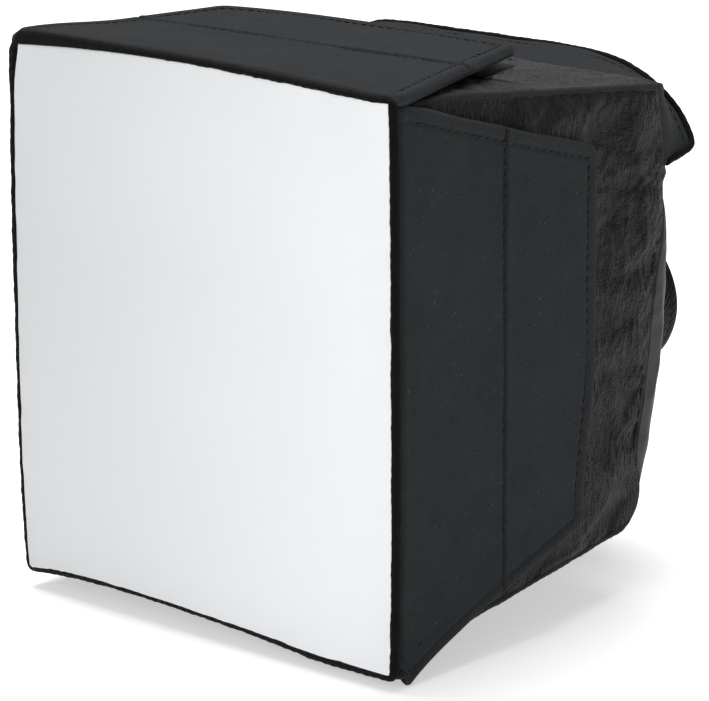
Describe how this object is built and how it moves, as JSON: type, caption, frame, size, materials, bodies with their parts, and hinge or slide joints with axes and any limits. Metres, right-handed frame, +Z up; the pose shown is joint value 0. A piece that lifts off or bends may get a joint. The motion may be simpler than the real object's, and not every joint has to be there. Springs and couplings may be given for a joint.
{
  "type": "flash softbox",
  "caption": "Folding fabric softbox for a camera flash: white front, hood with hinged stiffened wings, rear awning, neck sleeve and strap.",
  "frame": {"origin": "middle of the part's footprint, level with the lower edge of the front binding", "axes": "+X to the right seen from the front, -Y the way the white front faces, +Y towards the neck, +Z up"},
  "size_m": [0.158, 0.171, 0.1721],
  "materials": {
    "diffuser_cloth": "white woven nylon",
    "binding_tape": "black grosgrain tape",
    "wing_cloth": "coated oxford nylon",
    "stiffener_board": "matte sheet",
    "hook_tape": "nylon hooks",
    "loop_cloth": "brushed loop pile",
    "silver_lining": "metallised cloth",
    "satin_cloth": "smooth satin weave",
    "strap_webbing": "woven webbing"
  },
  "bodies": {
    "hood": {"front_diffuser": "diffuser_cloth", "front_binding_top": "binding_tape", "front_binding_right": "binding_tape", "front_binding_bottom": "binding_tape", "front_binding_left": "binding_tape", "hood_right_panel": "loop_cloth", "hood_right_lining": "silver_lining", "hood_left_panel": "loop_cloth", "hood_left_lining": "silver_lining", "hood_top_panel": "loop_cloth", "hood_top_lining": "silver_lining", "hood_bottom_panel": "loop_cloth", "hood_bottom_lining": "silver_lining", "ridge_piping_top_right": "binding_tape", "ridge_piping_top_left": "binding_tape", "ridge_piping_bottom_right": "binding_tape", "ridge_piping_bottom_left": "binding_tape", "rear_hem_right": "satin_cloth", "rear_hem_left": "satin_cloth", "rear_panel_right": "satin_cloth", "rear_panel_left": "satin_cloth", "rear_panel_top": "satin_cloth", "rear_panel_bottom": "satin_cloth", "rear_awning": "wing_cloth", "awning_lip": "binding_tape", "neck_collar": "satin_cloth", "neck_strap": "strap_webbing"},
    "top_wing_front": {"top_wing_front_cover": "wing_cloth", "top_wing_front_board": "stiffener_board"},
    "top_wing_rear": {"top_wing_rear_cover": "wing_cloth", "top_wing_rear_board": "stiffener_board", "top_wing_hook_tape": "hook_tape"},
    "right_wing_front": {"right_wing_front_cover": "wing_cloth", "right_wing_front_board": "stiffener_board"},
    "right_wing_rear": {"right_wing_rear_cover": "wing_cloth", "right_wing_rear_board": "stiffener_board", "right_wing_hook_tape": "hook_tape"},
    "bottom_wing_front": {"bottom_wing_front_cover": "wing_cloth", "bottom_wing_front_board": "stiffener_board"},
    "bottom_wing_rear": {"bottom_wing_rear_cover": "wing_cloth", "bottom_wing_rear_board": "stiffener_board", "bottom_wing_hook_tape": "hook_tape"},
    "left_wing_front": {"left_wing_front_cover": "wing_cloth", "left_wing_front_board": "stiffener_board"},
    "left_wing_rear": {"left_wing_rear_cover": "wing_cloth", "left_wing_rear_board": "stiffener_board", "left_wing_hook_tape": "hook_tape"},
    "strap_tab": {"neck_strap_tab": "strap_webbing", "neck_strap_tab_hook": "hook_tape"}
  },
  "joints": [
    {"name": "top_wing_hinge", "type": "hinge", "parent": "hood", "child": "top_wing_front", "pos_m": [0, -0.07525, 0.1703], "axis": [1, 0, 0], "range_deg": [0, 170]},
    {"name": "top_wing_fold", "type": "hinge", "parent": "top_wing_front", "child": "top_wing_rear", "pos_m": [0, -0.03678, 0.17185], "axis": [1, 0, 0], "range_deg": [-9, 145]},
    {"name": "right_wing_hinge", "type": "hinge", "parent": "hood", "child": "right_wing_front", "pos_m": [0.0753, -0.07525, 0.085], "axis": [0, 0, -1], "range_deg": [0, 170]},
    {"name": "right_wing_fold", "type": "hinge", "parent": "right_wing_front", "child": "right_wing_rear", "pos_m": [0.07737, -0.0338, 0.085], "axis": [0, 0, -1], "range_deg": [0, 145]},
    {"name": "bottom_wing_hinge", "type": "hinge", "parent": "hood", "child": "bottom_wing_front", "pos_m": [0, -0.07525, -0.0003], "axis": [-1, 0, 0], "range_deg": [0, 170]},
    {"name": "bottom_wing_fold", "type": "hinge", "parent": "bottom_wing_front", "child": "bottom_wing_rear", "pos_m": [0, -0.03699, 0.004], "axis": [-1, 0, 0], "range_deg": [0, 145]},
    {"name": "left_wing_hinge", "type": "hinge", "parent": "hood", "child": "left_wing_front", "pos_m": [-0.0753, -0.07525, 0.085], "axis": [0, 0, 1], "range_deg": [0, 170]},
    {"name": "left_wing_fold", "type": "hinge", "parent": "left_wing_front", "child": "left_wing_rear", "pos_m": [-0.07737, -0.0338, 0.085], "axis": [0, 0, 1], "range_deg": [0, 145]},
    {"name": "strap_tab_hinge", "type": "hinge", "parent": "hood", "child": "strap_tab", "pos_m": [-0.0439, 0.07295, 0.091], "axis": [0, 1, 0], "range_deg": [0, 150]}
  ]
}
